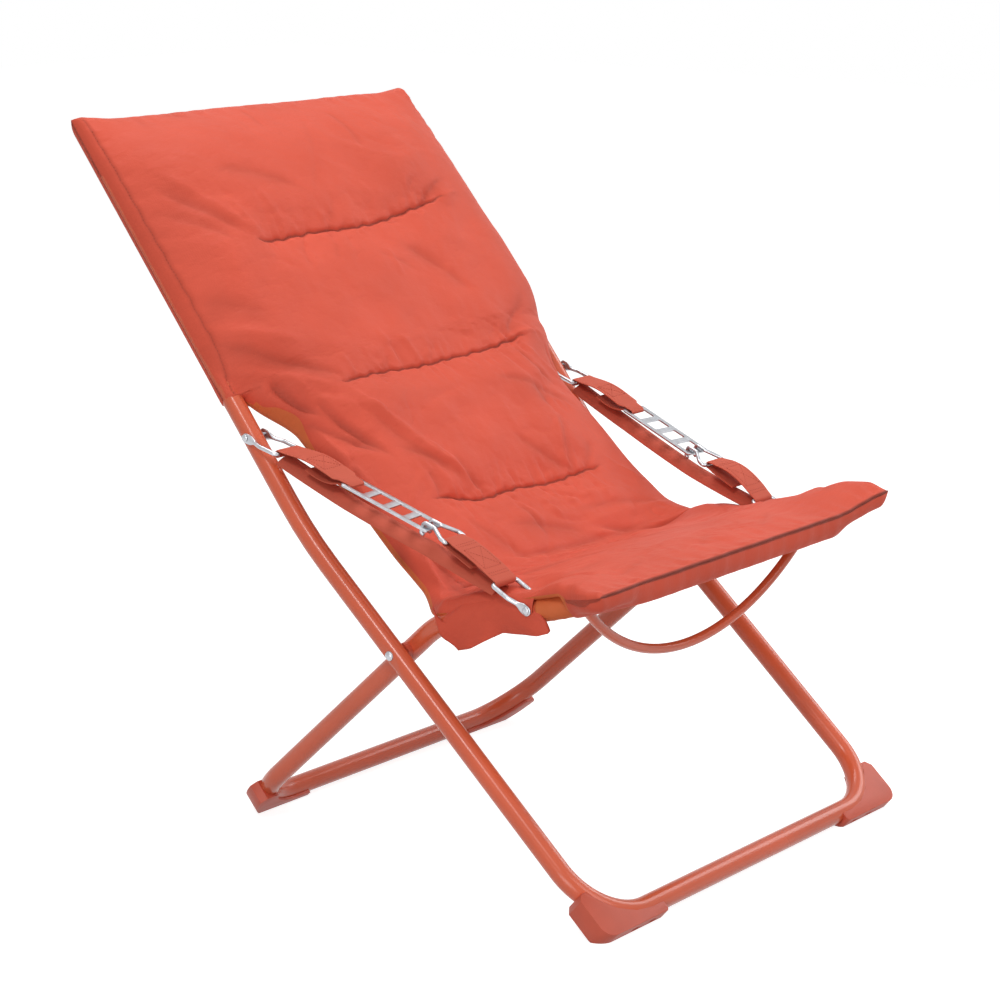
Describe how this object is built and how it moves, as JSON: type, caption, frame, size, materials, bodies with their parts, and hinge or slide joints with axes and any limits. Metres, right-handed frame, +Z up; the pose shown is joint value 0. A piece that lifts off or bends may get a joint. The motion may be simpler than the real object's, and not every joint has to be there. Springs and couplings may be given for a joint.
{
  "type": "folding relax chair",
  "caption": "Padded folding relax chair with two crossing tube frames, a hanging sling pad and adjustable strap armrests.",
  "frame": {"origin": "middle of the chair's footprint on the floor, under the centre of its box", "axes": "+Z up, +X across the chair, the sitter faces -Y"},
  "size_m": [0.6166, 0.8452, 0.8665],
  "materials": {
    "paint": "gloss coral paint",
    "shoe": "matt moulded",
    "spacer": "matt moulded",
    "zinc": "bright zinc plated",
    "webbing": "woven coated strap",
    "cloth": "padded woven polyester"
  },
  "bodies": {
    "outer_frame": {"outer_frame": "paint", "front_foot_r": "shoe", "pivot_rivet_r": "zinc", "pivot_spacer_r": "spacer", "rear_bail_rivet_r": "zinc", "arm_strap_r": "webbing", "front_foot_l": "shoe", "pivot_rivet_l": "zinc", "pivot_spacer_l": "spacer", "rear_bail_rivet_l": "zinc", "arm_strap_l": "webbing", "back_pad": "cloth", "waist_pad": "cloth"},
    "inner_frame": {"inner_frame": "paint", "seat_bow": "paint", "rear_foot_r": "shoe", "front_bail_rivet_r": "zinc", "rear_foot_l": "shoe", "front_bail_rivet_l": "zinc", "seat_pad": "cloth"},
    "rear_bail_r": {"rear_bail_r": "zinc"},
    "ladder_r": {"ladder_r": "zinc"},
    "front_bail_r": {"front_bail_r": "zinc"},
    "hook_r": {"hook_r": "zinc"},
    "rear_bail_l": {"rear_bail_l": "zinc"},
    "ladder_l": {"ladder_l": "zinc"},
    "front_bail_l": {"front_bail_l": "zinc"},
    "hook_l": {"hook_l": "zinc"}
  },
  "joints": [
    {"name": "frame_fold", "type": "hinge", "parent": "outer_frame", "child": "inner_frame", "pos_m": [0, -0.09444, 0.2748], "axis": [-1, 0, 0], "range_deg": [0, 82.5], "deforming": ["arm_strap_r", "arm_strap_l", "waist_pad"]},
    {"name": "rear_bail_turn_r", "type": "hinge", "parent": "outer_frame", "child": "rear_bail_r", "pos_m": [-0.2875, 0.13006, 0.503], "axis": [-1, 0, 0], "range_deg": [0, 1.3]},
    {"name": "ladder_swing_r", "type": "hinge", "parent": "rear_bail_r", "child": "ladder_r", "pos_m": [-0.276, 0.08529, 0.40953], "axis": [-1, 0, 0], "range_deg": [0, 78.8]},
    {"name": "front_bail_turn_r", "type": "hinge", "parent": "inner_frame", "child": "front_bail_r", "pos_m": [-0.2564, -0.27793, 0.3575], "axis": [1, 0, 0], "range_deg": [0, 122.5]},
    {"name": "hook_swing_r", "type": "hinge", "parent": "front_bail_r", "child": "hook_r", "pos_m": [-0.25697, -0.23136, 0.38062], "axis": [1, 0, 0], "range_deg": [0, 10.1]},
    {"name": "rear_bail_turn_l", "type": "hinge", "parent": "outer_frame", "child": "rear_bail_l", "pos_m": [0.2875, 0.13006, 0.503], "axis": [-1, 0, 0], "range_deg": [0, 1.3]},
    {"name": "ladder_swing_l", "type": "hinge", "parent": "rear_bail_l", "child": "ladder_l", "pos_m": [0.276, 0.08529, 0.40953], "axis": [-1, 0, 0], "range_deg": [0, 78.8]},
    {"name": "front_bail_turn_l", "type": "hinge", "parent": "inner_frame", "child": "front_bail_l", "pos_m": [0.2564, -0.27793, 0.3575], "axis": [1, 0, 0], "range_deg": [0, 122.5]},
    {"name": "hook_swing_l", "type": "hinge", "parent": "front_bail_l", "child": "hook_l", "pos_m": [0.25697, -0.23136, 0.38062], "axis": [1, 0, 0], "range_deg": [0, 10.1]}
  ],
  "couplings": [
    {"joint": "rear_bail_turn_r", "follows": "frame_fold", "ratio": 0.01},
    {"joint": "ladder_swing_r", "follows": "frame_fold", "ratio": 0.93},
    {"joint": "front_bail_turn_r", "follows": "frame_fold", "ratio": 1.45},
    {"joint": "hook_swing_r", "follows": "frame_fold", "ratio": 0.114},
    {"joint": "rear_bail_turn_l", "follows": "frame_fold", "ratio": 0.01},
    {"joint": "ladder_swing_l", "follows": "frame_fold", "ratio": 0.93},
    {"joint": "front_bail_turn_l", "follows": "frame_fold", "ratio": 1.45},
    {"joint": "hook_swing_l", "follows": "frame_fold", "ratio": 0.114}
  ]
}
